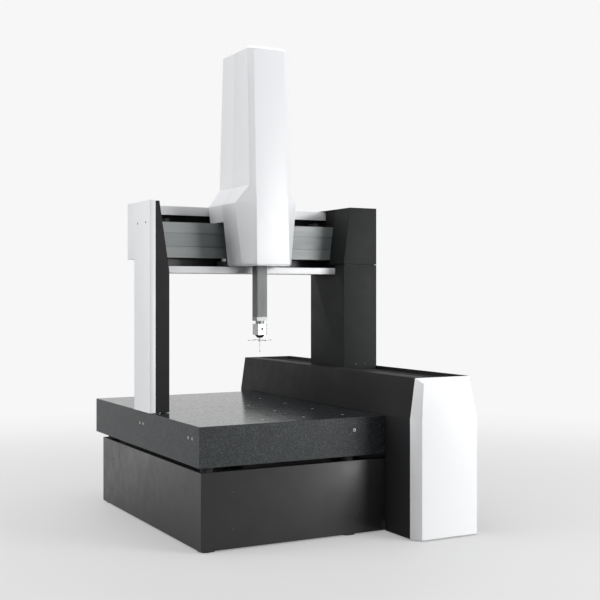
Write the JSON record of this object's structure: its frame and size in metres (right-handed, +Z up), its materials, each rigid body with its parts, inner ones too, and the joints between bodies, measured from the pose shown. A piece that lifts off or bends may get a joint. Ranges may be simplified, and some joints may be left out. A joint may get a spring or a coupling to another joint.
{
  "type": "coordinate measuring machine",
  "caption": "Moving-bridge coordinate measuring machine: granite table, air-bearing bridge, head carriage and a ram that carries a sprung star stylus.",
  "frame": {"origin": "on the floor in the middle of the machine's outline", "axes": "+X along the beam towards the drive tower, +Y along the table away from the operator, +Z up"},
  "size_m": [1.5705, 2.195, 2.775],
  "materials": {
    "granite": "lapped top, fine ground sides, speckled",
    "white_cover": "satin powder coat",
    "dark_cover": "satin textured powder coat",
    "dark_casting": "black painted casting",
    "frame_paint": "primer and satin paint",
    "beam_metal": "ground and hard anodised",
    "ram_metal": "hard anodised, satin",
    "machined_aluminium": "fine milled",
    "steel": "ground steel",
    "liner": "matt black paint",
    "bellows_cloth": "coated cloth, pleated",
    "mount_rubber": "moulded rubber",
    "motor_black": "black anodised",
    "bearing_pad": "bronze-coloured anodised",
    "electronics": "grey enclosure",
    "scale_glass": "graduated steel tape",
    "sensor_silver": "silver anodised, satin",
    "sensor_black": "black housing",
    "stylus_shaft": "white ceramic stem",
    "ruby": "polished ruby"
  },
  "bodies": {
    "base": {"base_frame": "frame_paint", "levelling_feet": "steel", "granite_supports": "mount_rubber", "base_front_panel": "dark_cover", "base_rear_panel": "dark_cover", "base_left_panel": "dark_cover", "granite_table": "granite", "table_inserts": "steel", "y_guide_rail": "beam_metal", "y_scale": "scale_glass", "y_drive_bar": "steel", "y_end_stops": "steel", "y_inner_cover": "dark_cover", "y_outer_cover": "dark_cover", "y_rear_cover": "dark_cover", "y_front_cover": "white_cover", "y_front_bellows": "bellows_cloth", "y_rear_bellows": "bellows_cloth", "control_cabinet": "electronics", "panel_screws": "steel"},
    "bridge": {"left_leg_frame": "dark_casting", "left_leg_cover": "white_cover", "leg_air_bearings": "bearing_pad", "bridge_screws": "steel", "x_beam": "beam_metal", "x_scale": "scale_glass", "x_end_stops": "mount_rubber", "x_drive_bar": "steel", "beam_bottom_tray": "white_cover", "beam_rear_cover": "white_cover", "beam_liner": "liner", "right_tower_frame": "dark_casting", "tower_lower_cover": "dark_cover", "tower_upper_cover": "dark_cover", "y_carriage": "machined_aluminium", "y_air_bearings": "bearing_pad", "y_readhead": "motor_black", "y_drive_motor": "motor_black"},
    "y_roller": {"y_drive_roller": "steel"},
    "carriage": {"carriage_frame": "dark_casting", "carriage_air_bearings": "bearing_pad", "ram_guide": "machined_aluminium", "ram_air_bearings": "bearing_pad", "x_drive_motor": "motor_black", "z_drive_motor": "motor_black", "counterbalance_cylinder": "machined_aluminium", "carriage_readheads": "motor_black", "head_front_cover": "white_cover", "head_rear_cover": "white_cover", "head_bottom_plate": "dark_cover"},
    "x_roller": {"x_drive_roller": "steel"},
    "z_roller": {"z_drive_roller": "steel"},
    "ram": {"ram_tube": "ram_metal", "counterbalance_rod": "steel", "probe_adapter": "sensor_black", "probe_body": "sensor_silver", "probe_cone": "sensor_black"},
    "gimbal": {"stylus_gimbal": "machined_aluminium"},
    "stylus": {"star_stylus": "stylus_shaft", "stylus_tips": "ruby"}
  },
  "joints": [
    {"name": "bridge_slide", "type": "slide", "parent": "base", "child": "bridge", "axis": [0, 1, 0], "range_m": [-0.5, 0.5], "deforming": ["y_front_bellows", "y_rear_bellows"]},
    {"name": "y_roller_spin", "type": "hinge", "parent": "bridge", "child": "y_roller", "pos_m": [0.4468, 0.1045, 0.705], "axis": [0, 0, 1], "range_deg": [-1598, 1598]},
    {"name": "carriage_slide", "type": "slide", "parent": "bridge", "child": "carriage", "axis": [1, 0, 0], "range_m": [-0.35, 0.35]},
    {"name": "x_roller_spin", "type": "hinge", "parent": "carriage", "child": "x_roller", "pos_m": [0.0085, 0.2302, 1.52], "axis": [0, 0, 1], "range_deg": [-1549, 1549]},
    {"name": "ram_slide", "type": "slide", "parent": "carriage", "child": "ram", "axis": [0, 0, 1], "range_m": [-0.31, 0.29]},
    {"name": "z_roller_spin", "type": "hinge", "parent": "carriage", "child": "z_roller", "pos_m": [-0.1478, -0.1265, 2.015], "axis": [0, 1, 0], "range_deg": [-1044, 1116]},
    {"name": "stylus_tilt_y", "type": "hinge", "parent": "ram", "child": "gimbal", "pos_m": [-0.0915, -0.1045, 1.095], "axis": [1, 0, 0], "range_deg": [-1.5, 1.5], "stiffness_Nm_per_rad": 2},
    {"name": "stylus_tilt_x", "type": "hinge", "parent": "gimbal", "child": "stylus", "pos_m": [-0.0915, -0.1045, 1.095], "axis": [0, 1, 0], "range_deg": [-1.5, 1.5], "stiffness_Nm_per_rad": 2}
  ],
  "couplings": [
    {"joint": "y_roller_spin", "follows": "bridge_slide", "rad_per_m": 55.556},
    {"joint": "x_roller_spin", "follows": "carriage_slide", "rad_per_m": 76.923},
    {"joint": "z_roller_spin", "follows": "ram_slide", "rad_per_m": -62.5}
  ]
}
